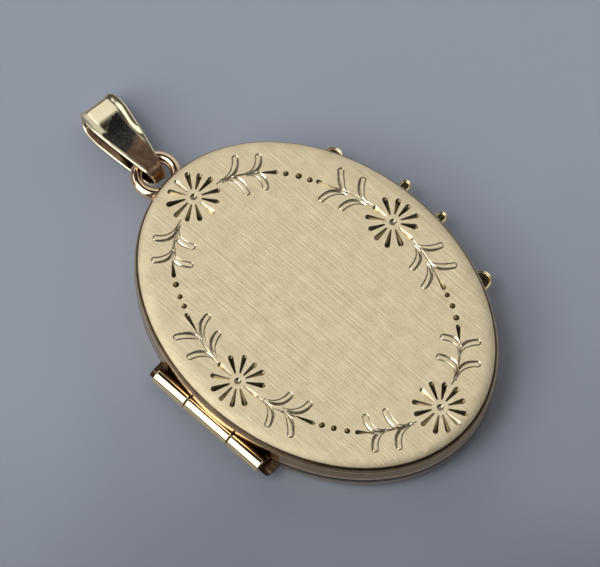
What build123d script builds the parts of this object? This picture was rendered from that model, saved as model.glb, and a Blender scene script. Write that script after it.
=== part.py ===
"""Oval hinged photo locket with a soldered hanging ring and a folded strap bail.

It lies on its back: +Z is up through the front face, +Y points to the hanging ring,
-X is the hinge side and +X the side that opens. The origin is the middle of the flat back.
All sizes are in millimetres.
"""
from build123d import *
from math import cos, radians, sin
import os

os.makedirs("parts", exist_ok=True)

# Case: an oval that is widest at the parting plane
FACE_X, FACE_Y = 11.35, 15.0        # half axes of the oval where the face meets the side
BULGE = 0.34                        # how far the side stands out of that oval at the parting plane
HALF_THICK = 2.1                    # each half, from the parting plane to the edge of its face
DOME_RISE = 0.15                    # the front face stands this much higher in its middle
DOME_RADIUS = FACE_Y**2 / (2 * DOME_RISE)
# Side profile of each half: height from the parting plane, and how far it stands out of the oval
FRONT_PROFILE = ((0.0, BULGE), (1.1, 0.28), (HALF_THICK, 0.15), (HALF_THICK + 0.3, 0.09))
BACK_PROFILE = ((0.0, BULGE), (1.1, 0.27), (HALF_THICK, 0.0), (HALF_THICK + 0.3, -0.14))
FRONT_ROUND, BACK_ROUND = 0.6, 0.28
PART_Z = HALF_THICK
LIP_GAP = 0.02                      # each lip stops this far from the parting plane
FACE_THICK = 0.4

# Rims inside the case
CAVITY_X, CAVITY_Y = 10.97, 14.62   # inside of the back half, and outside of its snap rim
RIM_WALL = 0.28
SNAP_HEIGHT = 0.5                   # the snap rim stands this far above the parting plane
SNAP_PLAY = 0.06                    # between the snap rim and the front half
SEAT_CLEAR = 0.1                    # between the snap rim's top and the front seat rim

# Photo frames, each with a clear window and a photo card behind it
FRAME_PLAY = 0.05
FRAME_SKIRT = 0.35
FRAME_LIP = 1.4                     # width of the frame's flat border
LIP_THICK = 0.4
CARD_THICK = 0.22
WINDOW_THICK = 0.38
LAYER_GAP = 0.02
DISC_PLAY = 0.04

# Finger tabs on the opening side
TAB_THICK = 0.2
THUMB_Y, THUMB_WIDTH, THUMB_REACH = 1.85, 1.0, 12.65
PULL_Y, PULL_WIDTH, PULL_REACH = 7.6, 1.7, 11.1
TAB_OFFSET = 0.04                   # from the parting plane to the nearest side of a tab
PULL_ROOT_X, RISER = 8.0, 0.5
NOTCH_PLAY = 0.07

# Hinge
HINGE_X = -11.8
BARREL_R, BORE_R, PIN_R = 0.675, 0.34, 0.3
KNUCKLE_GAP = 0.06
MIDDLE_HALF, BARREL_HALF = 2.15, 5.35
PIN_HALF = 5.33
CHANNEL_PLAY = 0.06
BEARER_HALF, BEARER_DEPTH, BEARER_ROUND = 6.05, 1.6, 0.6
BEARER_CLEAR = 0.12                 # from a bearer to the parting plane
FRONT_BEARER_TOP, FRONT_BEARER_DEPTH = 1.15, 0.7
BACK_BEARER_BASE, BACK_BEARER_UNDER = 1.25, 0.2     # below the parting plane, and below the barrel
BEARER_END_DROP = 0.62              # beyond the barrel its ends lie this far below the parting plane

# Hanging ring, in the parting plane
RING_Y, RING_R, RING_WIRE_R = 16.5, 1.55, 0.48
RING_PLAY = 0.06

# Bail: a tapered strap folded over at its far end and closed at its tip, lying back on the table
STRAP = 0.28
BAIL_LENGTH, TIP_R, FOLD_R = 8.7, 1.1, 1.25
BAIL_TIP_Y = 15.95                  # before it leans over
BAIL_LEAN, BAIL_TILT = 9.0, 7.0     # degrees: sideways about the ring's centre, and tip up
WIRE_ABOVE_AXIS = 0.2               # the ring's wire lies this far above the bail's middle line
# Half width of the strap along its length, and the rounded shoulders at its fold
BAIL_TIP_WIDTH = 0.5
BAIL_TAPER = ((1.05, 0.8), (4.0, 1.35), (6.9, 1.74))
BAIL_SHOULDER = ((8.1, 1.6), (BAIL_LENGTH, 1.2))
BAIL_HALF_SPAN = 2.0                # wider and deeper than the folded strap


def half_case(side, grow=0.0):
    """Filled outer shape of one half: side is 1 for the front and -1 for the back."""
    with BuildPart() as shape:
        for height, stand_out in FRONT_PROFILE if side > 0 else BACK_PROFILE:
            with BuildSketch(Plane.XY.offset(PART_Z + side * height)):
                Ellipse(FACE_X + stand_out + grow, FACE_Y + stand_out + grow)
        loft()
        if side > 0:
            with Locations((0, 0, PART_Z + HALF_THICK + DOME_RISE + grow - DOME_RADIUS)):
                Sphere(DOME_RADIUS, mode=Mode.INTERSECT)
            edge = shape.faces().sort_by(Axis.Z)[-1].edges()
        else:
            split(bisect_by=Plane.XY.offset(-grow), keep=Keep.TOP)
            edge = shape.faces().sort_by(Axis.Z)[0].edges()
        fillet(edge, radius=FRONT_ROUND if side > 0 else BACK_ROUND)
    return shape.part


def oval_tube(x, y, wall, z_low, z_high):
    """Upright oval ring: x and y are its outer half axes."""
    with BuildPart() as tube:
        with BuildSketch(Plane.XY.offset(z_low)):
            Ellipse(x, y)
            Ellipse(x - wall, y - wall, mode=Mode.SUBTRACT)
        extrude(amount=z_high - z_low)
    return tube.part


def oval_disc(x, y, z_low, thickness):
    with BuildPart() as disc:
        with BuildSketch(Plane.XY.offset(z_low)):
            Ellipse(x, y)
        extrude(amount=thickness)
    return disc.part


def barrel(y_low, y_high, radius, bore=0.0):
    """Cylinder on the hinge axis, with a bore if one is given."""
    with BuildPart() as cylinder:
        with BuildSketch(Plane(origin=(HINGE_X, y_low, PART_Z), z_dir=(0, 1, 0))):
            Circle(radius)
            if bore:
                Circle(bore, mode=Mode.SUBTRACT)
        extrude(amount=y_high - y_low)
    return cylinder.part


def tab_sheet(y, width, reach, root_x, z_low):
    """Flat finger tab that points along +X and ends in a half round."""
    with BuildPart() as tab:
        with BuildSketch(Plane.XY.offset(z_low)):
            with Locations((reach - width / 2, y)):
                Circle(width / 2)
            with Locations(((reach - width / 2 + root_x) / 2, y)):
                Rectangle(reach - width / 2 - root_x, width)
        extrude(amount=TAB_THICK)
    return tab.part


def block(x_low, x_high, y_low, y_high, z_low, z_high):
    with BuildPart() as cube:
        with Locations(((x_low + x_high) / 2, (y_low + y_high) / 2, (z_low + z_high) / 2)):
            Box(x_high - x_low, y_high - y_low, z_high - z_low)
    return cube.part


def finish(piece, name):
    piece.label = name
    export_step(piece, f"parts/{name}.step")


front_shape = half_case(1)
back_shape = half_case(-1)
channel = barrel(-BARREL_HALF - CHANNEL_PLAY, BARREL_HALF + CHANNEL_PLAY, BARREL_R + CHANNEL_PLAY)
notch_half = PULL_WIDTH / 2 + NOTCH_PLAY
pull_low_back = PART_Z - TAB_OFFSET - TAB_THICK
pull_low_front = PART_Z + TAB_OFFSET
snap_top = PART_Z + SNAP_HEIGHT

# Back half of the case, with a flat underside
with BuildPart() as back_cover:
    add(back_shape)
    add(oval_disc(CAVITY_X, CAVITY_Y, FACE_THICK, HALF_THICK), mode=Mode.SUBTRACT)
    split(bisect_by=Plane.XY.offset(PART_Z - LIP_GAP), keep=Keep.BOTTOM)
    add(channel, mode=Mode.SUBTRACT)
    add(
        block(PULL_ROOT_X, PULL_REACH + 1, PULL_Y - notch_half, PULL_Y + notch_half,
              pull_low_back - TAB_OFFSET, PART_Z),
        mode=Mode.SUBTRACT,
    )
finish(back_cover.part, "back_cover")

# Front half of the case, with a slightly domed face
front_cavity = oval_disc(
    CAVITY_X + SNAP_PLAY, CAVITY_Y + SNAP_PLAY, PART_Z - 1, HALF_THICK - FACE_THICK + 1
)
with BuildPart() as front_cover:
    add(front_shape)
    add(front_cavity, mode=Mode.SUBTRACT)
    split(bisect_by=Plane.XY.offset(PART_Z + LIP_GAP), keep=Keep.TOP)
    add(channel, mode=Mode.SUBTRACT)
    add(
        block(PULL_ROOT_X, PULL_REACH + 1, -PULL_Y - notch_half, -PULL_Y + notch_half,
              PART_Z, pull_low_front + TAB_THICK + TAB_OFFSET),
        mode=Mode.SUBTRACT,
    )
finish(front_cover.part, "front_cover")

# Snap rim: soldered inside the back half, it grips the inside of the front half
with BuildPart() as back_snap_rim:
    add(oval_tube(CAVITY_X, CAVITY_Y, RIM_WALL, FACE_THICK, snap_top))
    for y, z_low in ((PULL_Y, pull_low_back - TAB_OFFSET), (-PULL_Y, PART_Z)):
        add(
            block(PULL_ROOT_X, PULL_REACH + 1, y - notch_half, y + notch_half, z_low, snap_top + 1),
            mode=Mode.SUBTRACT,
        )
finish(back_snap_rim.part, "back_snap_rim")

# Seat rim: soldered inside the front half, it holds the front photo frame
roof_z = PART_Z + HALF_THICK - FACE_THICK
seat_x, seat_y = CAVITY_X + SNAP_PLAY, CAVITY_Y + SNAP_PLAY
front_seat_rim = oval_tube(seat_x, seat_y, RIM_WALL, snap_top + SEAT_CLEAR, roof_z)
finish(front_seat_rim, "front_seat_rim")

# Photo frames: a skirt around the card and the window, a flat border over them, and a pull tab
frame_depth = CARD_THICK + WINDOW_THICK + 2 * LAYER_GAP + LIP_THICK


def photo_frame(x, y, floor_z, side, pull_y, tab_low):
    """Frame that stands on floor_z and faces the parting plane."""
    lip_z = floor_z + side * frame_depth
    pocket_z = lip_z - side * LIP_THICK
    tab_near = tab_low if side > 0 else tab_low + TAB_THICK
    with BuildPart() as frame:
        add(oval_disc(x, y, min(floor_z, lip_z), frame_depth))
        add(
            oval_disc(x - FRAME_SKIRT, y - FRAME_SKIRT, min(floor_z, pocket_z), abs(pocket_z - floor_z)),
            mode=Mode.SUBTRACT,
        )
        add(
            oval_disc(x - FRAME_LIP, y - FRAME_LIP, min(floor_z, lip_z), frame_depth),
            mode=Mode.SUBTRACT,
        )
        add(tab_sheet(pull_y, PULL_WIDTH, PULL_REACH, PULL_ROOT_X, tab_low))
        add(block(PULL_ROOT_X, PULL_ROOT_X + RISER, pull_y - PULL_WIDTH / 2, pull_y + PULL_WIDTH / 2,
                  min(lip_z, tab_near), max(lip_z, tab_near)))
    return frame.part


back_frame_x = CAVITY_X - RIM_WALL - FRAME_PLAY
back_frame_y = CAVITY_Y - RIM_WALL - FRAME_PLAY
front_frame_x = seat_x - RIM_WALL - FRAME_PLAY
front_frame_y = seat_y - RIM_WALL - FRAME_PLAY
finish(photo_frame(back_frame_x, back_frame_y, FACE_THICK, 1, PULL_Y, pull_low_back), "back_photo_frame")
finish(photo_frame(front_frame_x, front_frame_y, roof_z, -1, -PULL_Y, pull_low_front), "front_photo_frame")

inset = FRAME_SKIRT + DISC_PLAY
back_disc = (back_frame_x - inset, back_frame_y - inset)
front_disc = (front_frame_x - inset, front_frame_y - inset)
finish(oval_disc(*back_disc, FACE_THICK, CARD_THICK), "back_photo_card")
finish(oval_disc(*back_disc, FACE_THICK + CARD_THICK + LAYER_GAP, WINDOW_THICK), "back_window")
finish(oval_disc(*front_disc, roof_z - CARD_THICK, CARD_THICK), "front_photo_card")
front_window_z = roof_z - CARD_THICK - LAYER_GAP - WINDOW_THICK
finish(oval_disc(*front_disc, front_window_z, WINDOW_THICK), "front_window")

# Thumb tabs: one on each half, side by side, pushed apart to open the locket
with BuildPart() as front_thumb_tab:
    add(tab_sheet(THUMB_Y, THUMB_WIDTH, THUMB_REACH, CAVITY_X, PART_Z + TAB_OFFSET))
    add(front_shape, mode=Mode.SUBTRACT)
finish(front_thumb_tab.part, "front_thumb_tab")

with BuildPart() as back_thumb_tab:
    add(tab_sheet(-THUMB_Y, THUMB_WIDTH, THUMB_REACH, CAVITY_X, PART_Z - TAB_OFFSET - TAB_THICK))
    add(back_shape, mode=Mode.SUBTRACT)
finish(back_thumb_tab.part, "back_thumb_tab")

# Hinge: the middle knuckle turns with the front half, and the pin is fixed in the outer ones
outer_start = MIDDLE_HALF + KNUCKLE_GAP
finish(barrel(-MIDDLE_HALF, MIDDLE_HALF, BARREL_R, BORE_R), "hinge_knuckle_middle")
finish(barrel(outer_start, BARREL_HALF, BARREL_R, PIN_R), "hinge_knuckle_upper")
finish(barrel(-BARREL_HALF, -outer_start, BARREL_R, PIN_R), "hinge_knuckle_lower")
finish(barrel(-PIN_HALF, PIN_HALF, PIN_R), "hinge_pin")

# Bearers: the strips that join the knuckles to the two halves
front_plane_xz = Plane(origin=(0, MIDDLE_HALF, 0), x_dir=(1, 0, 0), z_dir=(0, -1, 0))
with BuildPart() as front_hinge_bearer:
    with BuildSketch(front_plane_xz):
        with BuildLine():
            Polyline(
                (HINGE_X + 0.1, PART_Z + BARREL_R - 0.02),
                (HINGE_X + 0.5, PART_Z + FRONT_BEARER_TOP),
                (HINGE_X + FRONT_BEARER_DEPTH, PART_Z + FRONT_BEARER_TOP),
                (HINGE_X + FRONT_BEARER_DEPTH, PART_Z + BEARER_CLEAR),
                (HINGE_X + 0.4, PART_Z + BEARER_CLEAR),
                close=True,
            )
        make_face()
    extrude(amount=2 * MIDDLE_HALF)
    add(barrel(-MIDDLE_HALF, MIDDLE_HALF, BARREL_R), mode=Mode.SUBTRACT)
    add(front_cover.part, mode=Mode.SUBTRACT)
finish(front_hinge_bearer.part, "front_hinge_bearer")

with BuildPart() as back_block:
    add(back_shape)
    add(channel, mode=Mode.SUBTRACT)

back_plane_xz = Plane(origin=(0, BEARER_HALF, 0), x_dir=(1, 0, 0), z_dir=(0, -1, 0))
with BuildPart() as back_hinge_bearer:
    with BuildSketch(back_plane_xz):
        with BuildLine():
            Polyline(
                (HINGE_X - 0.25, PART_Z - BARREL_R + 0.05),
                (HINGE_X, PART_Z - BARREL_R - BACK_BEARER_UNDER),
                (HINGE_X + 0.6, PART_Z - BACK_BEARER_BASE),
                (HINGE_X + BEARER_DEPTH, PART_Z - BACK_BEARER_BASE),
                (HINGE_X + BEARER_DEPTH, PART_Z - BEARER_CLEAR),
                (HINGE_X + 0.3, PART_Z - BEARER_CLEAR),
                close=True,
            )
        make_face()
    extrude(amount=2 * BEARER_HALF)
    with BuildSketch():
        with Locations((HINGE_X + BEARER_DEPTH / 2, 0)):
            RectangleRounded(BEARER_DEPTH + 1, 2 * BEARER_HALF, BEARER_ROUND)
    extrude(amount=PART_Z, mode=Mode.INTERSECT)
    add(barrel(-BEARER_HALF, BEARER_HALF, BARREL_R), mode=Mode.SUBTRACT)
    add(barrel(-outer_start, outer_start, BARREL_R + CHANNEL_PLAY), mode=Mode.SUBTRACT)
    for y_low, y_high in ((BARREL_HALF, BEARER_HALF), (-BEARER_HALF, -BARREL_HALF)):
        add(
            block(HINGE_X - 1, HINGE_X + BEARER_DEPTH, y_low, y_high, PART_Z - BEARER_END_DROP, PART_Z),
            mode=Mode.SUBTRACT,
        )
    add(back_block.part, mode=Mode.SUBTRACT)
finish(back_hinge_bearer.part, "back_hinge_bearer")

# Hanging ring: cut to meet the back half, and clear of the front half that lifts past it
with BuildPart() as hanging_ring:
    with Locations((0, RING_Y, PART_Z)):
        Torus(RING_R, RING_WIRE_R)
    add(back_shape, mode=Mode.SUBTRACT)
    add(half_case(1, RING_PLAY), mode=Mode.SUBTRACT)
finish(hanging_ring.part, "hanging_ring")

# Bail: s runs along it from its tip, n points out of its front
lean, tilt = radians(BAIL_LEAN), radians(BAIL_TILT)
along = Vector(sin(lean) * cos(tilt), cos(lean) * cos(tilt), -sin(tilt))
outward = Vector(sin(lean) * sin(tilt), cos(lean) * sin(tilt), cos(tilt))
wire_from_ring_centre = Vector(sin(lean), cos(lean), 0) * RING_R
wire_at = Vector(0, RING_Y, PART_Z) + wire_from_ring_centre
tip_at = wire_at - along * (RING_Y + RING_R - BAIL_TIP_Y) - outward * WIRE_ABOVE_AXIS
side_plane = Plane(origin=tip_at, x_dir=along, z_dir=along.cross(outward))
front_plane = Plane(origin=tip_at, x_dir=along, z_dir=outward)


def loop_outline(inset_by):
    """Side outline of the folded strap: a small round at the tip and a larger one at the fold."""
    with BuildSketch() as outline:
        with Locations((TIP_R, 0)):
            Circle(TIP_R - inset_by)
        with Locations((BAIL_LENGTH - FOLD_R, 0)):
            Circle(FOLD_R - inset_by)
        make_hull()
    return outline.sketch


with BuildPart() as bail:
    with BuildSketch(side_plane):
        add(loop_outline(0))
        add(loop_outline(STRAP), mode=Mode.SUBTRACT)
    extrude(amount=BAIL_HALF_SPAN, both=True)
    with BuildSketch(front_plane.offset(-BAIL_HALF_SPAN)):
        with BuildLine():
            taper = Spline((0, BAIL_TIP_WIDTH), *BAIL_TAPER)
            shoulder = ThreePointArc(taper @ 1, *BAIL_SHOULDER)
            Polyline(shoulder @ 1, (BAIL_LENGTH, 0), (0, 0), (0, BAIL_TIP_WIDTH))
        make_face()
        mirror(about=Plane.XZ)
    extrude(amount=2 * BAIL_HALF_SPAN, mode=Mode.INTERSECT)
finish(bail.part, "bail")
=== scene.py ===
from math import atan2, cos, pi, radians, sin

import bmesh
import bpy
import numpy as np
from mathutils import Matrix, Vector
from mathutils.geometry import delaunay_2d_cdt


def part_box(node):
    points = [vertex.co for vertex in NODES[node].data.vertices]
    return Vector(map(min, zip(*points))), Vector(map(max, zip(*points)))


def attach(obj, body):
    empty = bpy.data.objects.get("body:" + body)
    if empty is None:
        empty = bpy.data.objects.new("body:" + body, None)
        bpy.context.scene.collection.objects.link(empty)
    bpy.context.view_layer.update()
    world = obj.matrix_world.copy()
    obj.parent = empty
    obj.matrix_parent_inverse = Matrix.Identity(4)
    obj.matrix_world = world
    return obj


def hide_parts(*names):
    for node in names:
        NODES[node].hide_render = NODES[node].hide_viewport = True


MM = 0.001
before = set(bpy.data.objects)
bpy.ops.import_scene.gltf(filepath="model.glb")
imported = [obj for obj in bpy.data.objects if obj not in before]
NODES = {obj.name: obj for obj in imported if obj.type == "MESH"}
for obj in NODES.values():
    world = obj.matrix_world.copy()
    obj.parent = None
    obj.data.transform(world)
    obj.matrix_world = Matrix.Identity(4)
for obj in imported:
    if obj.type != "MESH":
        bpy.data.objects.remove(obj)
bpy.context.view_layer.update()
SEED = 7


def box_mm(node):
    """Lowest and highest corner of a CAD node in millimetres."""
    low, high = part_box(node)
    return np.array(low) / MM, np.array(high) / MM


# ---------------------------------------------------------------- materials

def new_material(name):
    """(material, its node tree, its Principled shader)."""
    material = bpy.data.materials.new(name)
    material.use_nodes = True
    tree = material.node_tree
    tree.nodes.clear()
    output = tree.nodes.new("ShaderNodeOutputMaterial")
    shader = tree.nodes.new("ShaderNodeBsdfPrincipled")
    tree.links.new(shader.outputs[0], output.inputs[0])
    return material, tree, shader


def noise(tree, per_mm, detail=3.0, roughness=0.5):
    """Noise over the object's own coordinates. per_mm: cells per millimetre along x, y, z."""
    coords = tree.nodes.new("ShaderNodeTexCoord")
    mapping = tree.nodes.new("ShaderNodeMapping")
    mapping.inputs["Scale"].default_value = [n / MM for n in per_mm]
    texture = tree.nodes.new("ShaderNodeTexNoise")
    texture.inputs["Scale"].default_value = 1.0
    texture.inputs["Detail"].default_value = detail
    texture.inputs["Roughness"].default_value = roughness
    tree.links.new(coords.outputs["Object"], mapping.inputs["Vector"])
    tree.links.new(mapping.outputs["Vector"], texture.inputs["Vector"])
    return texture.outputs["Fac"]


def spread(tree, value, low, high, start=0.3, end=0.7):
    """value, mostly between start and end, spread over low to high."""
    ranger = tree.nodes.new("ShaderNodeMapRange")
    ranger.inputs["From Min"].default_value = start
    ranger.inputs["From Max"].default_value = end
    ranger.inputs["To Min"].default_value = low
    ranger.inputs["To Max"].default_value = high
    tree.links.new(value, ranger.inputs["Value"])
    return ranger.outputs["Result"]


def two_tone(tree, value, dark, light, start=0.3, end=0.7):
    ramp = tree.nodes.new("ShaderNodeValToRGB")
    ramp.color_ramp.elements[0].position = start
    ramp.color_ramp.elements[0].color = (*dark, 1)
    ramp.color_ramp.elements[1].position = end
    ramp.color_ramp.elements[1].color = (*light, 1)
    tree.links.new(value, ramp.inputs["Fac"])
    return ramp.outputs["Color"]


def bump(tree, shader, heights):
    """Chains bumps: heights is a list of (value, depth in mm)."""
    normal = None
    for value, depth in heights:
        node = tree.nodes.new("ShaderNodeBump")
        node.inputs["Distance"].default_value = depth * MM
        node.inputs["Strength"].default_value = 1.0
        tree.links.new(value, node.inputs["Height"])
        if normal is not None:
            tree.links.new(normal, node.inputs["Normal"])
        normal = node.outputs["Normal"]
    tree.links.new(normal, shader.inputs["Normal"])


def combine(tree, operation, a, b):
    """Result of a maths operation on a and b, each a socket or a float."""
    node = tree.nodes.new("ShaderNodeMath")
    node.operation = operation
    for socket, value in zip(node.inputs, (a, b)):
        if isinstance(value, float):
            socket.default_value = value
        else:
            tree.links.new(value, socket)
    return node.outputs[0]


def mix(tree, share, first, second):
    """Colour that turns from first to second as share goes from 0 to 1."""
    node = tree.nodes.new("ShaderNodeMix")
    node.data_type = "RGBA"
    tree.links.new(share, node.inputs["Factor"])
    tree.links.new(first, node.inputs["A"])
    tree.links.new(second, node.inputs["B"])
    return node.outputs["Result"]


def dot(tree, vector, axis):
    """How far the vector socket reaches along axis."""
    node = tree.nodes.new("ShaderNodeVectorMath")
    node.operation = "DOT_PRODUCT"
    node.inputs[1].default_value = axis
    tree.links.new(vector, node.inputs[0])
    return node.outputs["Value"]


MOTTLE = (0.9, 0.9, 0.9), 4.0, 0.6      # the noise that mottles every gold


def gold(name, dark, light, rough, lines):
    """Gold with mottled colour. rough: lowest and highest roughness.
    lines: each (cells per mm along x, y and z, depth in mm)."""
    material, tree, shader = new_material(name)
    shader.inputs["Metallic"].default_value = 1.0
    mottle = noise(tree, *MOTTLE)
    tree.links.new(two_tone(tree, mottle, dark, light), shader.inputs["Base Color"])
    heights = [(noise(tree, line[:3], 3.0, 0.6), line[3]) for line in lines]
    tree.links.new(spread(tree, heights[0][0], *rough), shader.inputs["Roughness"])
    bump(tree, shader, heights)
    return material


# Browner, darker gold tones of the polished side wall: painted shade
SHADED_WALL_TONES = (0.45, 0.305, 0.16), (0.63, 0.45, 0.25)

SATIN = gold("satin_gold", (0.89, 0.74, 0.49), (1.00, 0.865, 0.60), (0.58, 0.70),
             [(13.0, 0.7, 13.0, 0.034), (4.0, 0.15, 4.0, 0.060), (11.0, 8.0, 11.0, 0.028)])
POLISHED = gold("polished_gold", (0.88, 0.69, 0.41), (0.95, 0.78, 0.49), (0.06, 0.12),
                [(1.0, 1.0, 1.0, 0.0012), (12.0, 12.0, 12.0, 0.0003)])
# The side wall's gold in those darker tones: painted shade
WALL = gold("wall_gold_painted_shade", *SHADED_WALL_TONES, (0.10, 0.20),
            [(1.0, 1.0, 1.0, 0.0012), (12.0, 12.0, 12.0, 0.0005)])
# Lighter gold for thin bright lines on the lip and the bead: painted highlight
LINE = gold("painted_highlight_gold", (0.80, 0.57, 0.35), (0.98, 0.75, 0.50), (0.12, 0.22),
            [(1.0, 1.0, 1.0, 0.0012), (12.0, 12.0, 12.0, 0.0005)])
# Near-black gold for the groove under the crease, the hinge bearers and pin, and the dishes of the tabs:
# painted shade
SHADE_GOLD = gold("painted_shade_gold", (0.05, 0.032, 0.02), (0.13, 0.085, 0.05), (0.30, 0.45),
            [(5.0, 5.0, 5.0, 0.002)])
NOOK = gold("shaded_gold", (0.04, 0.022, 0.014), (0.13, 0.074, 0.045), (0.16, 0.30),
            [(3.0, 3.0, 3.0, 0.003), (12.0, 12.0, 12.0, 0.0006)])
# Lit and shaded copies of the gold in the engraved cuts: the lighter one is painted highlight, the darker one
# painted shade
LIT_CUT = gold("cut_gold_painted_highlight", (0.56, 0.465, 0.31), (0.92, 0.81, 0.60), (0.16, 0.28),
                  [(6.0, 6.0, 6.0, 0.0015)])
SHADED_CUT = gold("cut_gold_painted_shade", (0.25, 0.20, 0.12), (0.52, 0.435, 0.285), (0.10, 0.20),
                [(6.0, 6.0, 6.0, 0.0015)])
ROSY = gold("ring_gold", (0.90, 0.64, 0.42), (0.96, 0.73, 0.50), (0.06, 0.12),
            [(1.2, 1.2, 1.2, 0.0012), (12.0, 12.0, 12.0, 0.0003)])
INSIDE = gold("inside_gold", (0.84, 0.65, 0.37), (0.93, 0.75, 0.46), (0.14, 0.26),
              [(2.5, 2.5, 2.5, 0.002), (14.0, 14.0, 14.0, 0.001)])


def card_material():
    material, tree, shader = new_material("photo_card")
    fibres = noise(tree, (5, 5, 5), 5.0, 0.65)
    cloud = noise(tree, (0.25, 0.25, 0.25), 2.0, 0.5)
    paper = two_tone(tree, cloud, (0.72, 0.68, 0.58), (0.80, 0.77, 0.69))
    tree.links.new(paper, shader.inputs["Base Color"])
    tree.links.new(spread(tree, fibres, 0.62, 0.80), shader.inputs["Roughness"])
    bump(tree, shader, [(fibres, 0.006)])
    return material


def window_material():
    material, tree, shader = new_material("clear_window")
    shader.inputs["Base Color"].default_value = (0.97, 0.98, 0.97, 1)
    shader.inputs["Transmission Weight"].default_value = 1.0
    shader.inputs["IOR"].default_value = 1.49
    haze = noise(tree, (1.5, 1.5, 1.5), 3.0, 0.5)
    tree.links.new(spread(tree, haze, 0.02, 0.07), shader.inputs["Roughness"])
    return material


# How far below the seam, in mm, the side wall starts to turn brown or black and has turned: painted shade
BROWN_BELOW, BLACK_BELOW = (1.9, 1.5), (0.65, 0.4)
WALL_FACING = 0.5, 0.8           # upward part of the normal where the wall ends and the lip starts


def back_material():
    """Gold whose side wall is browner, and near-black just under the parting plane: painted shade on both."""
    material, tree, shader = new_material("back_gold")
    shader.inputs["Metallic"].default_value = 1.0
    coords = tree.nodes.new("ShaderNodeTexCoord")
    place = tree.nodes.new("ShaderNodeSeparateXYZ")
    tree.links.new(coords.outputs["Object"], place.inputs["Vector"])
    facing = tree.nodes.new("ShaderNodeSeparateXYZ")
    tree.links.new(coords.outputs["Normal"], facing.inputs["Vector"])
    seam = box_mm("back_cover")[1][2]
    brown, black = (spread(tree, place.outputs["Z"], 0.0, 1.0, (seam - start) * MM, (seam - end) * MM)
                    for start, end in (BROWN_BELOW, BLACK_BELOW))
    wall_only = spread(tree, facing.outputs["Z"], 1.0, 0.0, *WALL_FACING)
    mottle = noise(tree, *MOTTLE)
    plain = two_tone(tree, mottle, (0.86, 0.70, 0.44), (0.95, 0.80, 0.53))
    wall = mix(tree, brown, plain, two_tone(tree, mottle, *SHADED_WALL_TONES))
    seam_shade = two_tone(tree, mottle, (0.03, 0.02, 0.012), (0.08, 0.054, 0.034))
    colour = mix(tree, combine(tree, "MULTIPLY", black, wall_only), wall, seam_shade)
    tree.links.new(colour, shader.inputs["Base Color"])
    scuffs = noise(tree, (5.0, 1.2, 5.0), 4.0, 0.6)
    tree.links.new(spread(tree, scuffs, 0.14, 0.26), shader.inputs["Roughness"])
    bump(tree, shader, [(noise(tree, (0.8, 0.8, 0.8)), 0.0015), (scuffs, 0.0012)])
    return material


BACK = back_material()
CARD = card_material()
WINDOW = window_material()


# ---------------------------------------------------------------- mesh helpers

def make_piece(name, points_mm, faces, materials, face_slots=None, sharp=35.0):
    """Mesh object from points in millimetres, smooth but for edges past the sharp angle in degrees."""
    mesh = bpy.data.meshes.new(name)
    mesh.from_pydata([tuple(p) for p in np.asarray(points_mm) * MM], [], faces)
    for material in materials:
        mesh.materials.append(material)
    if face_slots is not None:
        mesh.polygons.foreach_set("material_index", face_slots)
    piece = bpy.data.objects.new(name, mesh)
    bpy.context.scene.collection.objects.link(piece)
    tidy_mesh(mesh, sharp)
    return piece


def tidy_mesh(mesh, sharp):
    """Outward normals, smooth shading and sharp edges past an angle."""
    work = bmesh.new()
    work.from_mesh(mesh)
    bmesh.ops.recalc_face_normals(work, faces=work.faces)
    work.to_mesh(mesh)
    work.free()
    mesh.polygons.foreach_set("use_smooth", [True] * len(mesh.polygons))
    mesh.set_sharp_from_angle(angle=radians(sharp))
    mesh.update()


def band(first, second, count):
    """Quads between two closed rings of count points whose first indices are given."""
    return [(first + i, first + (i + 1) % count, second + (i + 1) % count, second + i) for i in range(count)]


def cut(piece, cutters, sharp):
    """Subtracts the cutter objects from piece and removes them."""
    for cutter in cutters:
        modifier = piece.modifiers.new("cut", "BOOLEAN")
        modifier.operation = "DIFFERENCE"
        modifier.solver = "EXACT"
        modifier.object = cutter
    bpy.context.view_layer.update()
    graph = bpy.context.evaluated_depsgraph_get()
    mesh = bpy.data.meshes.new_from_object(piece.evaluated_get(graph))
    piece.modifiers.clear()
    piece.data = mesh
    for cutter in cutters:
        bpy.data.objects.remove(cutter)
    tidy_mesh(mesh, sharp)


def rod(name, start, end, radius, sides=96):
    """Plain closed rod between two points, used to cut."""
    start, end = Vector(start), Vector(end)
    turn = (end - start).to_track_quat("Z", "Y")
    points = []
    for centre in (start, end):
        for i in range(sides):
            angle = 2 * pi * i / sides
            points.append(centre + turn @ Vector((radius * cos(angle), radius * sin(angle), 0)))
    faces = band(0, sides, sides) + [tuple(range(sides)), tuple(range(sides, 2 * sides))]
    return make_piece(name, points, faces, [SHADE_GOLD])


def brick(name, low, high):
    """Box between two corners, used to cut."""
    points = [(x, y, z) for z in (low[2], high[2]) for y in (low[1], high[1]) for x in (low[0], high[0])]
    faces = [(0, 1, 3, 2), (4, 5, 7, 6), (0, 1, 5, 4), (2, 3, 7, 6), (0, 2, 6, 4), (1, 3, 7, 5)]
    return make_piece(name, points, faces, [INSIDE])


# ---------------------------------------------------------------- the case, measured from its CAD box

front_low, front_high = box_mm("front_cover")
PART_Z = (front_low[2] + box_mm("back_cover")[1][2]) / 2
BULGE = 0.34                     # the oval stands out this far at the parting plane
FACE_X = front_high[0] - BULGE
FACE_Y = front_high[1] - BULGE
HALF_THICK = 2.1                 # from the parting plane to where the dome's rises are counted from
DOME_RISE, DOME_EDGE = 0.15, 0.05        # of the dome in its middle and at the ends of the long axis
FACE_THICK, RIM = 0.4, 0.32
RING_STEPS = 480
TURN = np.arange(RING_STEPS) * 2 * pi / RING_STEPS
DOME_RADIUS = FACE_Y**2 / (2 * (DOME_RISE - DOME_EDGE))
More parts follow.
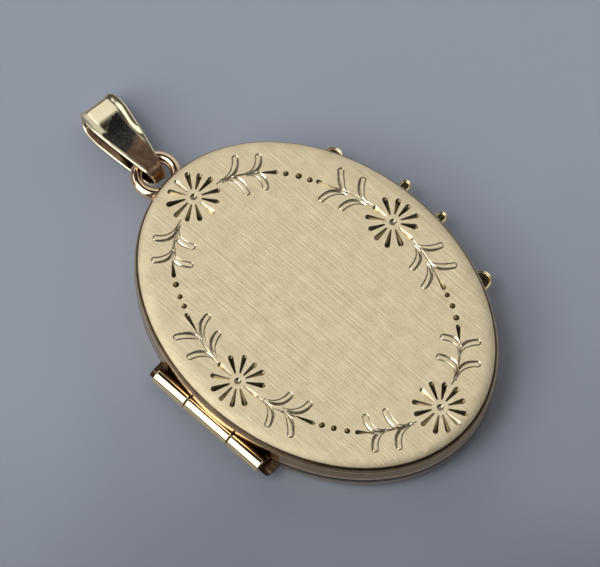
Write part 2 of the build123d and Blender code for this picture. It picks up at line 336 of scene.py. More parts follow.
# The face rolls down to a crease, where the polished wall starts: tilts are from level
ROLL_STAND, CREASE_STAND, CREASE_DROP, CREASE_TILT = -1.1, -0.03, 0.29, radians(48)
SHOULDER_STAND = CREASE_STAND - CREASE_DROP / np.tan(CREASE_TILT)
ROLL_RINGS = (-0.09, -0.16, -0.23, -0.31, -0.4, -0.5, -0.62, -0.76, -0.93, -1.12)
WALL_TILT, WALL_HEIGHT, WALL_STAND = radians(64), 1.2, 0.26
LIP_EASE = 0.10                  # rounding of the lip at the parting plane
LIP_HIGHLIGHT = 0.15, 0.42            # heights between which the wall is brighter: a painted highlight
LIP_STEPS, WALL_STEPS, CREASE_STEPS = 4, 12, 28
# Between wall and crease, as (share of the way up, half width, how far it stands out): a bead, then a groove
BEAD, GROOVE = (0.38, 0.22, 0.04), (0.80, 0.14, -0.08)
BEAD_BRIGHT, GROOVE_DARK = 0.7, 0.85     # shares of those half widths that have their own material: a painted highlight on the bead, painted shade in the groove
CASE_SHARP = 18.0
CASE_MATERIALS = [WALL, SATIN, INSIDE, LIT_CUT, SHADE_GOLD, LINE, SHADED_CUT]
WALL_SLOT, SATIN_SLOT, INSIDE_SLOT, LIT_CUT_SLOT, SHADE_SLOT, HIGHLIGHT_SLOT, SHADED_CUT_SLOT = range(7)


def dome(x, y):
    """Height of the front face above the parting plane."""
    return HALF_THICK + DOME_RISE - (x * x + y * y) / (2 * DOME_RADIUS)


def roll_drop(x, y):
    """How far the face has rolled down below its dome."""
    low, high = np.full(len(x), -FACE_X), np.full(len(x), 1.0)
    for _ in range(40):          # halves the range in which the point's own oval stands
        stand = (low + high) / 2
        outside = (x / (FACE_X + stand + 1e-9)) ** 2 + (y / (FACE_Y + stand)) ** 2 > 1
        low, high = np.where(outside, stand, low), np.where(outside, high, stand)
    a = ROLL_STAND - 2 * SHOULDER_STAND + CREASE_STAND
    b = 2 * (SHOULDER_STAND - ROLL_STAND)
    past = np.clip(low - ROLL_STAND, 0, None)
    t = (-b + np.sqrt(b * b + 4 * a * past)) / (2 * a)
    return CREASE_DROP * t * t


def oval(stand, height):
    """Ring of points of the front half: stand and height may differ around the ring."""
    x = (FACE_X + stand) * np.cos(TURN)
    y = (FACE_Y + stand) * np.sin(TURN)
    return np.column_stack([x, y, PART_Z + height + 0 * x])


def bend(t, *ends):
    """(stand, height) at t along a quadratic curve through the first and last of three such pairs."""
    weights = (1 - t) ** 2, 2 * t * (1 - t), t * t
    return tuple(sum(w * p[k] for w, p in zip(weights, ends)) for k in (0, 1))


def fractions(steps):
    """Equal steps up to 1, without the 0 at the start."""
    return np.linspace(0, 1, steps + 1)[1:]


def swell(t, centre, half, height):
    """Smooth bump of the given height around centre."""
    return height * cos(pi / 2 * (t - centre) / half) ** 2 if abs(t - centre) < half else 0.0


def case_rings(gap):
    """Rings from the cavity's roof round the lip, up the wall and over the crease, each with the
    material slot of the band below it."""
    rings = [oval(-RIM, HALF_THICK - FACE_THICK), oval(-RIM, gap), oval(BULGE - LIP_EASE, gap)]
    lip = (BULGE - LIP_EASE, gap), (BULGE, gap), (BULGE, gap + LIP_EASE)
    rings += [oval(*bend(t, *lip)) for t in fractions(LIP_STEPS)]
    slots = [INSIDE_SLOT] * 2 + [WALL_SLOT] * (len(rings) - 2)
    for height in np.linspace(gap + LIP_EASE, WALL_HEIGHT, WALL_STEPS + 1)[1:]:
        rings.append(oval(BULGE - (BULGE - WALL_STAND) * (height / WALL_HEIGHT) ** 2, height))
        slots.append(HIGHLIGHT_SLOT if LIP_HIGHLIGHT[0] < height < LIP_HIGHLIGHT[1] else WALL_SLOT)
    face_z = dome((FACE_X + CREASE_STAND) * np.cos(TURN), (FACE_Y + CREASE_STAND) * np.sin(TURN))
    wall = (WALL_STAND, WALL_HEIGHT)
    crease = (CREASE_STAND, face_z - CREASE_DROP)
    lean = -2 * (BULGE - WALL_STAND) / WALL_HEIGHT
    rise = CREASE_STAND - WALL_STAND - lean * (crease[1] - WALL_HEIGHT)
    rise = rise / (-lean * sin(WALL_TILT) - cos(WALL_TILT))
    corner = (CREASE_STAND + rise * cos(WALL_TILT), crease[1] - rise * sin(WALL_TILT))
    for t in fractions(CREASE_STEPS):
        stand, height = bend(t, wall, corner, crease)
        rings.append(oval(stand + swell(t, *BEAD) + swell(t, *GROOVE), height))
        # Painted shade in the groove and a painted highlight on the bead
        in_groove = abs(t - GROOVE[0]) < GROOVE[1] * GROOVE_DARK
        in_bead = abs(t - BEAD[0]) < BEAD[1] * BEAD_BRIGHT
        slots.append(SHADE_SLOT if in_groove else HIGHLIGHT_SLOT if in_bead else WALL_SLOT)
    return rings, slots


# ---------------------------------------------------------------- engraving: strokes with V sections

FLOWER_Y, FLOWER_X = 12.55, 8.66
PETALS, PETAL_IN, PETAL_OUT = 12, 0.68, 2.12
PETAL_ROOT, CENTRE_R = 0.07, 0.27        # radius of the cut at a petal's inner end and in the middle
UPRIGHT = 0.93                   # petals whose direction has a sine past this get the painted highlight
HAND = 0.05                      # points of the branches stray this far from their places
LEAF_HALF = 0.205
# Kinds of cut: slope of its sides, and its material slot, the painted shade or the painted highlight
SHADED_KIND, PUNCHED = (0.95, SHADED_CUT_SLOT), (1.4, SHADED_CUT_SLOT)
LIT_KIND, LIGHT = (0.95, LIT_CUT_SLOT), (0.78, LIT_CUT_SLOT)
rng = np.random.default_rng(SEED)
strokes = []                     # each: (points, radii, kind)


def add_stroke(points, radii, kind):
    strokes.append((np.array(points, float), np.array(radii, float), kind))


def add_flower(x, y):
    add_stroke([(x, y)], [CENTRE_R], SHADED_KIND)
    for i in range(PETALS):
        angle = 2 * pi * (i + rng.uniform(-0.09, 0.09)) / PETALS
        reach = PETAL_OUT * rng.uniform(0.92, 1.03)
        width = rng.uniform(0.185, 0.235)
        steps = np.linspace(0, 1, 4)
        radial = PETAL_IN + (reach - width - PETAL_IN) * steps
        add_stroke([(x + r * cos(angle), y + r * sin(angle)) for r in radial],
                   PETAL_ROOT + (width - PETAL_ROOT) * steps, LIT_KIND if abs(sin(angle)) > UPRIGHT else SHADED_KIND)


def curve(base, middle, tip, steps):
    """(t, points, unit normals, unit headings) along a quadratic curve through three points."""
    base, middle, tip = (np.array(p, float) for p in (base, middle, tip))
    control = 2 * middle - (base + tip) / 2
    t = np.linspace(0, 1, steps)[:, None]
    points = (1 - t) ** 2 * base + 2 * t * (1 - t) * control + t**2 * tip
    heading = 2 * (1 - t) * (control - base) + 2 * t * (tip - control)
    heading /= np.linalg.norm(heading, axis=1)[:, None]
    return t[:, 0], points, np.column_stack([-heading[:, 1], heading[:, 0]]), heading


def add_leaf(base, middle, tip, flip):
    """Leaf outlined by a U of two cuts that meet at its base."""
    t, points, normal, heading = curve(base, middle, tip, 9)
    half = LEAF_HALF * np.clip(t / 0.6, 0, 1) ** 0.75
    left = points + normal * half[:, None]
    right = points - normal * half[:, None]
    cap = points[-1] + heading[-1] * 0.13
    path = np.vstack([left, [cap + normal[-1] * 0.11], [cap - normal[-1] * 0.11], right[::-1]])
    heavy = 0.05 + 0.075 * np.sin(pi * np.clip(t * 0.8 + 0.1, 0, 1))
    light = 0.042 + 0.02 * t
    radii = (heavy, light) if not flip else (light, heavy)
    add_stroke(path, np.concatenate([radii[0], [0.065, 0.065], radii[1][::-1]]), LIGHT)


TOP_LEAVES = (                   # near the flower on the long axis, towards the rim and the middle
    ((2.35, 11.95), (3.5, 11.72), (4.45, 12.4)),
    ((2.35, 11.75), (3.22, 11.1), (2.95, 9.75)),
    ((4.1, 10.9), (4.95, 10.68), (5.8, 11.25)),
    ((4.05, 10.7), (4.62, 10.0), (4.25, 8.95)),
)
SIDE_LEAVES = (                  # near the flower on the short axis
    ((8.35, 2.45), (7.85, 3.35), (6.8, 3.6)),
    ((8.55, 2.5), (8.85, 3.4), (9.75, 4.0)),
    ((7.95, 4.05), (7.35, 4.9), (6.35, 5.2)),
    ((8.15, 4.1), (8.35, 4.95), (9.2, 5.75)),
)
STEMS = (((2.0, 12.0), (3.2, 11.45), (4.9, 10.2)), ((8.6, 2.1), (8.3, 3.6), (7.8, 5.0)))
WEDGES = (((4.97, 10.1), (5.68, 9.3)), ((7.75, 5.15), (7.33, 6.4)))
DOTS = ((6.1, 8.65), (6.6, 7.82), (7.02, 6.98))


def add_quadrant(sx, sy):
    def there(p):
        return p[0] * sx + rng.uniform(-HAND, HAND), p[1] * sy + rng.uniform(-HAND, HAND)

    for i, leaf in enumerate(TOP_LEAVES + SIDE_LEAVES):
        add_leaf(*(there(p) for p in leaf), flip=(i % 2 == 0) == (sx * sy > 0))
    for start, end in WEDGES:
        a, b = np.array(there(start)), np.array(there(end))
        steps = np.linspace(0, 1, 5)
        add_stroke([a + (b - a) * s for s in steps], 0.05 + 0.13 * steps, SHADED_KIND)
    for stem in STEMS:
        t, path, _, _ = curve(*(there(p) for p in stem), steps=9)
        add_stroke(path, 0.05 + 0.045 * t, LIGHT)
    for dot in DOTS:
        add_stroke([there(dot)], [rng.uniform(0.20, 0.25)], PUNCHED)


for sign in (1, -1):
    add_flower(0, sign * FLOWER_Y)
    add_flower(sign * FLOWER_X, 0)
    for other in (1, -1):
        add_quadrant(sign, other)


def groove(points, widen=0.0):
    """(depth in mm of the deepest stroke at each point, 0 where there is none, and its material slot)."""
    depth, slots = np.zeros(len(points)), np.full(len(points), SATIN_SLOT)
    for path, radii, (slope, slot) in strokes:
        pairs = [(0, 0)] if len(path) == 1 else [(i, i + 1) for i in range(len(path) - 1)]
        reach = radii.max() + widen
        inside = (points > path.min(0) - reach) & (points < path.max(0) + reach)
        near = np.flatnonzero(np.all(inside, axis=1))
        if not len(near):
            continue
        p = points[near]
        best = np.zeros(len(p))
        for i, j in pairs:
            along = path[j] - path[i]
            length = max(float(along @ along), 1e-12)
            t = np.clip(((p - path[i]) @ along) / length, 0, 1)
            gap = np.linalg.norm(p - (path[i] + t[:, None] * along), axis=1)
            best = np.maximum(best, radii[i] + (radii[j] - radii[i]) * t + widen - gap)
        deeper = slope * best > depth[near]
        depth[near[deeper]] = slope * best[deeper]
        slots[near[deeper]] = slot
    return depth, slots


def stroke_outline(path, radii):
    """Closed outline of a stroke."""
    if len(path) == 1:
        angles = np.arange(16) * 2 * pi / 16
        return path[0] + radii[0] * np.column_stack([np.cos(angles), np.sin(angles)])
    heading = np.gradient(path, axis=0)
    heading /= np.linalg.norm(heading, axis=1)[:, None]
    normal = np.column_stack([-heading[:, 1], heading[:, 0]])
    left = path + normal * radii[:, None]
    right = path - normal * radii[:, None]

    def cap(end, sign):
        out = []
        for angle in np.radians((-60, -30, 0, 30, 60)):
            turn = np.array([[cos(angle), -sin(angle)], [sin(angle), cos(angle)]])
            out.append(path[end] + turn @ (sign * heading[end]) * radii[end])
        return out[::-1]

    return np.vstack([left, cap(-1, 1), right[::-1], cap(0, -1)])


GRID_STEP, GRID_STRAY = 0.45, 0.1        # of the points between the strokes: spacing in mm, and share of it
STROKE_ROOM = 0.08               # those points keep this far from a stroke
SHALLOW = 0.004                  # faces cut less than this stay satin


def engraved_face(border):
    """Triangles over the oval inside border, with every stroke's edges in them:
    (points, depth of cut, faces, material slots, point of each border point)."""
    points = [tuple(p) for p in border]
    edges = [(i, (i + 1) % len(border)) for i in range(len(border))]
    for path, radii, _ in strokes:
        ring = stroke_outline(path, radii)
        first = len(points)
        points += [tuple(p) for p in ring]
        edges += [(first + i, first + (i + 1) % len(ring)) for i in range(len(ring))]
        first = len(points)
        points += [tuple(p) for p in path]
        edges += [(first + i, first + i + 1) for i in range(len(path) - 1)]
    grid_x, grid_y = np.meshgrid(*(np.arange(-half, half, GRID_STEP) for half in (FACE_X, FACE_Y)))
    grid = np.column_stack([grid_x.ravel(), grid_y.ravel()])
    grid[:, 0] += rng.uniform(-GRID_STRAY, GRID_STRAY, len(grid)) * GRID_STEP
    inner_x, inner_y = (half + ROLL_RINGS[-1] - GRID_STEP / 2 for half in (FACE_X, FACE_Y))
    grid = grid[np.hypot(grid[:, 0] / inner_x, grid[:, 1] / inner_y) < 1]
    grid = np.vstack([grid] + [oval(stand, 0)[:, :2] for stand in ROLL_RINGS])
    grid = grid[groove(grid, widen=STROKE_ROOM)[0] <= 0]
    points += [tuple(p) for p in grid]
    found, _, faces, origin, _, _ = delaunay_2d_cdt([Vector(p) for p in points], edges, [], 0, 1e-5)
    where = np.array([(p.x, p.y) for p in found])
    depth, _ = groove(where)
    centroid = np.array([where[list(f)].mean(0) for f in faces])
    cut_depth, slots = groove(centroid)
    slots = np.where(cut_depth > SHALLOW, slots, SATIN_SLOT).tolist()
    border_at = {}
    for i, sources in enumerate(origin):
        for source in sources:
            if source < len(border):
                border_at[source] = i
    return where, depth, faces, slots, border_at


def build_front():
    """The front half's shell: its rings, then the engraved face inside the crease."""
    rings, ring_slots = case_rings(front_low[2] - PART_Z)
    border = rings[-1]
    points = [p for ring in rings[:-1] for p in ring]
    faces, slots = [], []
    for i in range(len(rings) - 2):
        faces += band(i * RING_STEPS, (i + 1) * RING_STEPS, RING_STEPS)
        slots += [ring_slots[i + 1]] * RING_STEPS
    where, depth, triangles, triangle_slots, border_at = engraved_face(border[:, :2])
    first = len(points)
    x, y = where.T
    heights = PART_Z + dome(x, y) - roll_drop(x, y) - depth
    points += [tuple(p) for p in np.column_stack([where, heights])]
    last_ring = (len(rings) - 2) * RING_STEPS
    for i in range(RING_STEPS):
        j = (i + 1) % RING_STEPS
        faces.append((last_ring + i, last_ring + j, first + border_at[j], first + border_at[i]))
        slots.append(WALL_SLOT)
    faces += [tuple(first + k for k in f) for f in triangles]
    slots += triangle_slots
    faces.append(tuple(range(RING_STEPS)))
    slots.append(INSIDE_SLOT)
    return make_piece("front_case", points, faces, CASE_MATERIALS, slots, CASE_SHARP)


hinge_low, hinge_high = box_mm("hinge_knuckle_middle")
HINGE_X, HINGE_Z = (hinge_low[0] + hinge_high[0]) / 2, (hinge_low[2] + hinge_high[2]) / 2
BARREL_R = (hinge_high[2] - hinge_low[2]) / 2
BARREL_HALF = box_mm("hinge_knuckle_upper")[1][1]
CHANNEL_PLAY = 0.06
PULL_Y, NOTCH_HALF, NOTCH_DEPTH = 7.6, 0.92, 0.28
NOTCH_X = 8, 13                  # the notch for a pull tab runs through the rim between these


def front_cutters():
    """The channel that clears the barrel, and the notch that clears a pull tab."""
    half = BARREL_HALF + CHANNEL_PLAY
    channel = rod("channel_cut", (HINGE_X, -half, HINGE_Z), (HINGE_X, half, HINGE_Z), BARREL_R + CHANNEL_PLAY)
    notch = brick("notch_cut", (NOTCH_X[0], -PULL_Y - NOTCH_HALF, PART_Z - 1),
                  (NOTCH_X[1], -PULL_Y + NOTCH_HALF, PART_Z + NOTCH_DEPTH))
    return [channel, notch]


front_case = build_front()
cut(front_case, front_cutters(), CASE_SHARP)
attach(front_case, "front_half")
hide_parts("front_cover")

# ---------------------------------------------------------------- bail: a hollowed strap folded over

ring_low, ring_high = box_mm("hanging_ring")
RING_WIRE_R = (ring_high[2] - ring_low[2]) / 2
RING_R = ring_high[0] - RING_WIRE_R
RING_Y = ring_high[1] - ring_high[0]
BAIL_LENGTH, TIP_R, FOLD_R = 8.7, 1.1, 1.25
BAIL_TIP_Y, WIRE_ABOVE_AXIS = 15.95, 0.2
LEAN, TILT = radians(9.0), radians(7.0)
FOLD_REACH = 2.3                 # the front bends over this far before the fold
STRAP = 0.26
FLANK = 0.42                     # share of the half width over which the hollow's sides slope
# The hollow's painted dark reflection, in mm: where it turns from brown to black and where it ends along the
# bail, and how it slants, widens and stops short of the right and left edges
HOLLOW_BROWN, HOLLOW_END = 2.9, 6.2
HOLLOW_SLANT, HOLLOW_TAPER, HOLLOW_RIGHT, HOLLOW_LEFT = 0.50, 0.178, 0.76, 0.34
END_SOFT, RIGHT_SOFT, LEFT_SOFT, BROWN_SOFT = 0.12, 0.14, 0.10, 0.7      # how softly it changes there
BAIL_WIDTHS = (                  # (mm along the bail, half width)
    (0, 0.5), (0.35, 0.62), (1.05, 0.8), (4.0, 1.35), (6.2, 1.68), (7.3, 1.74), (8.1, 1.6), (8.7, 1.3),
)
# The sunk face: how deep on the front and on the back strap, where it has sunk in and where it comes up again
FRONT_SINK, BACK_SINK, LEAST_SINK = 0.30, 0.2, 0.03
SINK_IN, SINK_OUT, SINK_OUT_SHARE = (2.6, 5.4), (7.4, 8.7), 0.7


def smooth_step(value, low, high):
    """0 below low, 1 above high, with a smooth rise between them."""
    t = np.clip((value - low) / (high - low), 0, 1)
    return t * t * (3 - 2 * t)


def bail_path():
    """Closed side path of the strap's outer surface: rows of (along, out, angle of the surface's normal)."""
    slope = np.arcsin((FOLD_R - TIP_R) / (BAIL_LENGTH - TIP_R - FOLD_R))
    rows = []
    for a in np.linspace(pi / 2 + slope, -pi / 2 - slope, 41):
        reach = FOLD_REACH if a > 0 else FOLD_R
        normal = atan2(sin(a) * reach, cos(a) * FOLD_R)
        rows.append((BAIL_LENGTH - reach + reach * cos(a), FOLD_R * sin(a), normal))
    turns = np.linspace(-pi / 2 - slope, -3 * pi / 2 + slope, 27)
    ends = [(TIP_R + TIP_R * cos(a), TIP_R * sin(a), a) for a in turns]

    def straight(start, end):
        start, end = np.array(start), np.array(end)
        return [tuple(start + (end - start) * f) for f in np.linspace(0, 1, 25)[1:-1]]

    back = straight(rows[-1], ends[0])
    front = straight(ends[-1], np.array(rows[0]) - (0, 0, 2 * pi))
    return np.array(rows + back + ends + front)


ALONG = np.array([sin(LEAN) * cos(TILT), cos(LEAN) * cos(TILT), -sin(TILT)])
OUTWARD = np.array([sin(LEAN) * sin(TILT), cos(LEAN) * sin(TILT), cos(TILT)])
ACROSS = np.cross(ALONG, OUTWARD)
WIRE = np.array([sin(LEAN) * RING_R, RING_Y + cos(LEAN) * RING_R, PART_Z])
BAIL_TIP = WIRE - ALONG * (RING_Y + RING_R - BAIL_TIP_Y) - OUTWARD * WIRE_ABOVE_AXIS


def bail_material():
    """Polished gold with a painted dark reflection in its hollow: black in the middle, red-brown towards the
    tip.
    """
    material, tree, shader = new_material("bail_gold")
    shader.inputs["Metallic"].default_value = 1.0
    coords = tree.nodes.new("ShaderNodeTexCoord")

    def measure(axis):
        """Distance in mm from the bail's tip along axis."""
        reach = dot(tree, coords.outputs["Object"], [float(a) / MM for a in axis])
        return combine(tree, "SUBTRACT", reach, float(BAIL_TIP @ axis))

    s, u, n = (measure(axis) for axis in (ALONG, ACROSS, OUTWARD))
    wobble = spread(tree, noise(tree, (1.3, 1.3, 1.3), 3.0, 0.6), -0.25, 0.25)
    slope = combine(tree, "MULTIPLY", u, HOLLOW_SLANT)
    slant = combine(tree, "ADD", combine(tree, "SUBTRACT", s, slope), wobble)
    taper = combine(tree, "MULTIPLY", s, HOLLOW_TAPER)
    left = combine(tree, "SUBTRACT", combine(tree, "MULTIPLY", u, -1.0), taper)
    reflection_mask = spread(tree, slant, 1.0, 0.0, HOLLOW_END - END_SOFT, HOLLOW_END + END_SOFT)
    for value, start, soft in ((u, HOLLOW_RIGHT, RIGHT_SOFT), (left, HOLLOW_LEFT, LEFT_SOFT)):
        reflection_mask = combine(tree, "MULTIPLY", reflection_mask, spread(tree, value, 1.0, 0.0, start, start + soft))
    reflection_mask = combine(tree, "MULTIPLY", reflection_mask, spread(tree, n, 0.0, 1.0, 0.1, 0.3))
    gilt = two_tone(tree, noise(tree, *MOTTLE), (0.88, 0.74, 0.48), (0.96, 0.83, 0.57))
    brown_reflection_noise = noise(tree, (2.2, 1.1, 2.2), 4.0, 0.65)
    brown = two_tone(tree, brown_reflection_noise, (0.19, 0.10, 0.06), (0.38, 0.235, 0.135))
    black_reflection_noise = noise(tree, (5.0, 5.0, 5.0), 4.0, 0.7)
    black = two_tone(tree, black_reflection_noise, (0.014, 0.013, 0.011), (0.065, 0.062, 0.054))
    blackness = spread(tree, slant, 0.0, 1.0, HOLLOW_BROWN, HOLLOW_BROWN + BROWN_SOFT)
    colour = mix(tree, reflection_mask, gilt, mix(tree, blackness, brown, black))
    tree.links.new(colour, shader.inputs["Base Color"])
    tree.links.new(spread(tree, reflection_mask, 0.09, 0.34, 0.0, 1.0), shader.inputs["Roughness"])
    bump(tree, shader, [(noise(tree, (1.0, 1.0, 1.0)), 0.0012), (noise(tree, (6.0, 6.0, 6.0)), 0.0012)])
    return material


def build_bail():
    """The strap's section, a shallow hollow with rounded edges, carried round its side path."""
    stations, widths = np.array(BAIL_WIDTHS).T
    fine = np.linspace(0, BAIL_LENGTH, 200)
    padded = np.pad(np.interp(fine, stations, widths), 9, mode="edge")
    smooth = np.convolve(padded, np.ones(19) / 19, "valid")
    lanes = np.sin(np.linspace(-pi / 2, pi / 2, 25))
    edge = np.linspace(0, pi, 7)[1:-1]
    points, count = [], 2 * len(lanes) + 2 * len(edge)
    path = bail_path()
    for s, n, angle in path:
        half = np.interp(s, fine, smooth) - STRAP / 2
        deepest = FRONT_SINK if sin(angle) > -0.2 else BACK_SINK
        rising = 1 - SINK_OUT_SHARE * smooth_step(s, *SINK_OUT)
        hollow = LEAST_SINK + deepest * smooth_step(s, *SINK_IN) * rising
        sink = hollow * (1 - (1 - np.clip((1 - np.abs(lanes)) / FLANK, 0, 1)) ** 1.6)
        outer = [(u * half, -d) for u, d in zip(lanes, sink)]
        inner = [(u * half, -d - STRAP) for u, d in zip(lanes[::-1], sink[::-1])]
        right = [(half + STRAP / 2 * sin(a), -STRAP / 2 + STRAP / 2 * cos(a)) for a in edge]
        left = [(-half - STRAP / 2 * sin(a), -STRAP / 2 - STRAP / 2 * cos(a)) for a in edge]
        for u, depth in outer + right + inner + left:
            here = BAIL_TIP + ALONG * (s + depth * cos(angle)) + OUTWARD * (n + depth * sin(angle))
            points.append(here + ACROSS * u)
    faces, slots = [], []
    inside = range(len(lanes) + len(edge), 2 * len(lanes) + len(edge) - 1)
    for i in range(len(path)):
        faces += band(i * count, (i + 1) % len(path) * count, count)
        slots += [1 if k in inside else 0 for k in range(count)]
    piece = make_piece("bail_strap", points, faces, [bail_material(), NOOK], slots, 50)
    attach(piece, "bail")
    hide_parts("bail")


build_bail()

# ---------------------------------------------------------------- hinge knuckles with eased ends

KNUCKLE_EASE = 0.07
SHADED_TURN = 0.45               # share of a knuckle's round, on its lower side, that is shaded


def build_knuckle(node, body, bore):
    """Turned ring with a bore of that radius and eased ends."""
    low, high = box_mm(node)
    ease = KNUCKLE_EASE
    profile = [(bore, low[1]), (bore, high[1])]
    for y, turn in ((high[1], -1), (low[1], 1)):
        corner = [(BARREL_R - ease, 0), (BARREL_R - ease * 0.3, ease * 0.3),
                  (BARREL_R, ease), (BARREL_R, 1.6 * ease)]
        profile += [(r, y + turn * d) for r, d in corner][::-turn]
    steps = 96
    points = [(HINGE_X + r * cos(2 * pi * i / steps), y, HINGE_Z + r * sin(2 * pi * i / steps))
              for r, y in profile for i in range(steps)]
    faces, slots = [], []
    for k in range(len(profile)):
        faces += band(k * steps, (k + 1) % len(profile) * steps, steps)
        slots += [1 if (i + steps // 4) % steps < steps * SHADED_TURN else 0 for i in range(steps)]
    piece = make_piece(node + "_turned", points, faces, [POLISHED, NOOK], slots, 40)
    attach(piece, body)
    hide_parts(node)


build_knuckle("hinge_knuckle_middle", "front_half", 0.34)
build_knuckle("hinge_knuckle_upper", "back_half", 0.3)
build_knuckle("hinge_knuckle_lower", "back_half", 0.3)

# ---------------------------------------------------------------- finger tabs and photo frames

def stack(outline, layers, first=0):
    """Closed solid from an outline drawn at several (inset, height) layers: (points, faces)."""
    rings = [[(x, y, z) for x, y in outline(inset)] for inset, z in layers]
    count = len(rings[0])
    faces = [tuple(first + i for i in range(count))]
    for k in range(len(rings) - 1):
        faces += band(first + k * count, first + (k + 1) * count, count)
    faces.append(tuple(first + (len(rings) - 1) * count + i for i in range(count)))
    return [p for ring in rings for p in ring], faces


TAB_EASE = (                     # edge and bead of a tab, as (inset, height above its plain side)
    (0.05, 0.0), (0.0, 0.05), (0.0, 0.13), (0.02, 0.17),
    (0.06, 0.20), (0.10, 0.19), (0.14, 0.14), (0.20, 0.12),
)


def tab(root, reach, y, width, floor_z, first=0):
    """Finger tab, plain below and dished inside a bead above: (points, faces, material slots). The dish takes
    the second material, the painted shade.
    """
    def outline(inset):
        half = width / 2 - inset
        angles = np.linspace(-pi / 2, pi / 2, 25)
        arc = [(reach - width / 2 + half * cos(a), y + half * sin(a)) for a in angles]
        return [(root, y - half)] + arc + [(root, y + half)]

    points, faces = stack(outline, [(inset, floor_z + h) for inset, h in TAB_EASE], first)
    return points, faces, [0] * (len(faces) - 1) + [1]


for node, body in (("front_thumb_tab", "front_half"), ("back_thumb_tab", "back_half")):
    low, high = box_mm(node)
    points, faces, slots = tab(low[0], high[0], (low[1] + high[1]) / 2, high[1] - low[1], low[2])
    # Dish of each tab in painted shade
    piece = make_piece(node + "_beaded", points, faces, [POLISHED, SHADE_GOLD], slots, 40)
    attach(piece, body)
    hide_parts(node)

# Section of a frame as (inset from its outside, height above its floor): bead, sunk border, inner bead, skirt
FRAME_SECTION = ((0, 0), (0, 0.92), (0.04, 1.0), (0.12, 1.04), (0.22, 1.04), (0.31, 0.99), (0.38, 0.93),
                 (0.46, 0.91), (1.05, 0.95), (1.12, 1.0), (1.2, 1.03), (1.3, 1.02), (1.37, 0.96), (1.4, 0.88),
                 (1.4, 0.66), (0.35, 0.64), (0.35, 0))
FRAME_DEPTH, PULL_WIDTH, RISER = 1.04, 1.7, 0.5
PULL_ROOT, TAB_THICK = 8.0, 0.2
RISER_SINK = 0.12                # the riser under a pull tab starts this far inside the frame


def build_frame(node, body, side, pull_y):
    """Oval frame with a pull tab. side: 1 when it opens upwards, -1 when it opens downwards."""
    low, high = box_mm(node)
    half_x, half_y = -low[0], high[1]
    floor_z, tab_far = (low[2], high[2]) if side > 0 else (high[2], low[2])
    steps = 240
    points = [((half_x - inset) * cos(2 * pi * i / steps), (half_y - inset) * sin(2 * pi * i / steps),
               floor_z + side * h) for inset, h in FRAME_SECTION for i in range(steps)]
    faces = []
    for k in range(len(FRAME_SECTION)):
        faces += band(k * steps, (k + 1) % len(FRAME_SECTION) * steps, steps)
    slots = [0] * len(faces)
    tab_floor = tab_far - TAB_THICK if side > 0 else tab_far
    tab_points, tab_faces, tab_slots = tab(PULL_ROOT, high[0], pull_y, PULL_WIDTH, tab_floor, len(points))
    points += tab_points
    faces += tab_faces
    slots += tab_slots

    def riser(inset):
        x0, x1 = PULL_ROOT + inset, PULL_ROOT + RISER - inset
        y0, y1 = pull_y - PULL_WIDTH / 2 + inset, pull_y + PULL_WIDTH / 2 - inset
        return [(x0, y0), (x1, y0), (x1, y1), (x0, y1)]

    base, top = floor_z + side * (FRAME_DEPTH - RISER_SINK), tab_far - side * TAB_THICK / 2
    more, more_faces = stack(riser, ((0.0, base), (0.0, top)), len(points))
    points += more
    faces += more_faces
    slots += [0] * len(more_faces)
    # The pull tab's dish in painted shade
    piece = make_piece(node + "_beaded", points, faces, [INSIDE, SHADE_GOLD], slots, 40)
    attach(piece, body)
    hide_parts(node)


build_frame("back_photo_frame", "back_half", 1, PULL_Y)
build_frame("front_photo_frame", "front_half", -1, -PULL_Y)

# ---------------------------------------------------------------- CAD nodes that stay

FINISHES = (                     # the first word that is in a node's name gives its material; bearers and pin take the painted shade
    ("card", CARD), ("window", WINDOW), ("ring", ROSY), ("rim", INSIDE),
    ("bearer", SHADE_GOLD), ("pin", SHADE_GOLD), ("back_cover", BACK),
)

for name, node in NODES.items():
    finish = next((material for word, material in FINISHES if word in name), POLISHED)
    node.data.materials.clear()
    node.data.materials.append(finish)


# ---------------------------------------------------------------- floor, light and camera

AZIMUTH, ELEVATION = radians(-47.6), radians(69.0)
AHEAD = Vector((-sin(AZIMUTH), cos(AZIMUTH), 0))        # level direction the camera looks along
RIGHT = Vector((cos(AZIMUTH), sin(AZIMUTH), 0))
UP = Vector((0, 0, 1))
FLOOR_DARK, FLOOR_LIGHT = (0.225, 0.241, 0.293), (0.395, 0.424, 0.50)
FLOOR_FALLOFF, FLOOR_FADE = AHEAD * 0.9 - RIGHT * 0.35, 24.0      # painted light falloff: lighter this way, over this many mm
FLOOR_HALF, FLOOR_Z = 600, -0.01


def build_floor():
    material, tree, shader = new_material("floor")
    cloud = noise(tree, (0.02, 0.02, 0.02), 3.0, 0.5)
    coords = tree.nodes.new("ShaderNodeTexCoord")
    slope = dot(tree, coords.outputs["Object"], FLOOR_FALLOFF.normalized() / MM)
    painted_falloff = combine(tree, "MULTIPLY", slope, 0.5 / FLOOR_FADE)
    shade = combine(tree, "ADD", cloud, painted_falloff)
    tree.links.new(two_tone(tree, shade, FLOOR_DARK, FLOOR_LIGHT, 0.05, 0.6), shader.inputs["Base Color"])
    grain = noise(tree, (1.2, 1.2, 1.2), 4.0, 0.6)
    tree.links.new(spread(tree, grain, 0.45, 0.6), shader.inputs["Roughness"])
    bump(tree, shader, [(grain, 0.006)])
    corners = (-1, -1), (1, -1), (1, 1), (-1, 1)
    points = [(x * FLOOR_HALF, y * FLOOR_HALF, FLOOR_Z) for x, y in corners]
    floor = make_piece("floor", points, [(0, 1, 2, 3)], [material])


build_floor()


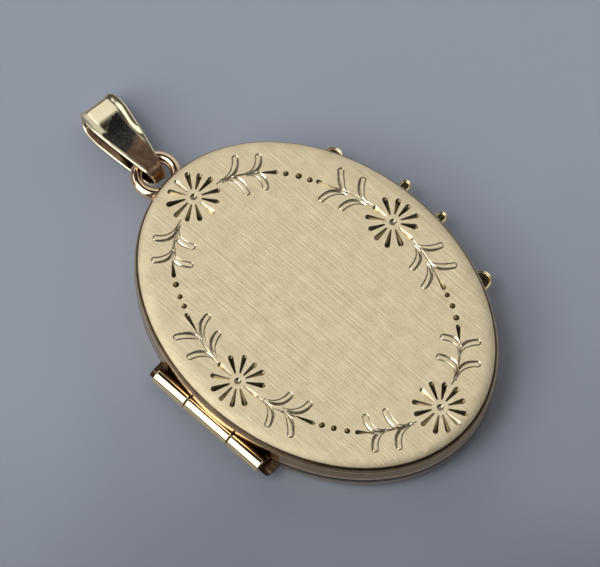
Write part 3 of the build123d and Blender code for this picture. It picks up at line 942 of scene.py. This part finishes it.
def lobe(tree, direction, inner, outer, value):
    """World light in a soft round patch: full inside inner degrees, none outside outer."""
    coords = tree.nodes.new("ShaderNodeTexCoord")
    ranger = tree.nodes.new("ShaderNodeMapRange")
    ranger.interpolation_type = "SMOOTHSTEP"
    ranger.inputs["From Min"].default_value = cos(radians(outer))
    ranger.inputs["From Max"].default_value = cos(radians(inner))
    ranger.inputs["To Max"].default_value = value
    nearness = dot(tree, coords.outputs["Generated"], direction.normalized())
    tree.links.new(nearness, ranger.inputs["Value"])
    return ranger.outputs["Result"]


WORLD_TINT, WORLD_LEVEL = (0.95, 0.98, 1.0, 1), 0.10
# Soft patches of light: direction along RIGHT, AHEAD and UP, degrees where its edge starts and ends, strength
LAMPS = (
    (-0.38, -0.07, 0.92, 8, 17, 2.5),
    (0.28, -0.02, 0.96, 8, 16, 1.1),
    (0.82, 0.36, 0.42, 7, 15, 0.8),
    (-0.57, -0.26, 0.78, 14, 26, 1.9),
    (-0.78, -0.47, 0.42, 12, 24, 2.5),
    (-0.82, 0.17, 0.54, 7, 14, 1.3),
    (-0.38, 0.74, 0.56, 17, 25, 0.80),
    (0.30, 0.84, 0.40, 18, 40, 0.60),
)
# Darker patches: the same, with the share of the light that each takes away
SHADES = (
    (0.0, -0.358, 0.934, 8, 18, 0.85),
    (-0.06, 0.43, 0.90, 12, 22, 0.80),
    (-0.83, -0.53, 0.14, 5, 12, 0.90),
)


def toward(right, ahead, up):
    return right * RIGHT + ahead * AHEAD + up * UP


def build_world():
    world = bpy.data.worlds.new("studio")
    bpy.context.scene.world = world
    world.use_nodes = True
    tree = world.node_tree
    tree.nodes.clear()
    output = tree.nodes.new("ShaderNodeOutputWorld")
    background = tree.nodes.new("ShaderNodeBackground")
    background.inputs["Color"].default_value = WORLD_TINT
    total = WORLD_LEVEL
    for right, ahead, up, inner, outer, strength in LAMPS:
        patch = lobe(tree, toward(right, ahead, up), inner, outer, strength)
        total = combine(tree, "ADD", total, patch)
    for right, ahead, up, inner, outer, share in SHADES:
        patch = lobe(tree, toward(right, ahead, up), inner, outer, share)
        total = combine(tree, "MULTIPLY", total, combine(tree, "SUBTRACT", 1.0, patch))
    tree.links.new(total, background.inputs["Strength"])
    tree.links.new(background.outputs[0], output.inputs[0])


build_world()
bpy.context.scene.view_settings.view_transform = "Standard"


SENSOR, LENS, DISTANCE = 36.0, 264.0, 333        # all in mm
AIM_RIGHT, AIM_RISE = -1.19, 2.11        # of the camera's aim, from the middle of the parting plane


def build_camera():
    camera = bpy.data.cameras.new("camera")
    camera.sensor_width, camera.lens = SENSOR, LENS
    camera.clip_start, camera.clip_end = 0.01, 10.0
    rig = bpy.data.objects.new("camera", camera)
    bpy.context.scene.collection.objects.link(rig)
    look = AHEAD * cos(ELEVATION) - UP * sin(ELEVATION)
    rise = RIGHT.cross(look)
    aim = Vector((0, 0, PART_Z)) + RIGHT * AIM_RIGHT + rise * AIM_RISE
    spot = aim - look * DISTANCE
    axes = Matrix((RIGHT, rise, -look)).transposed()
    rig.matrix_world = Matrix.Translation(spot * MM) @ axes.to_4x4()
    bpy.context.scene.camera = rig


build_camera()
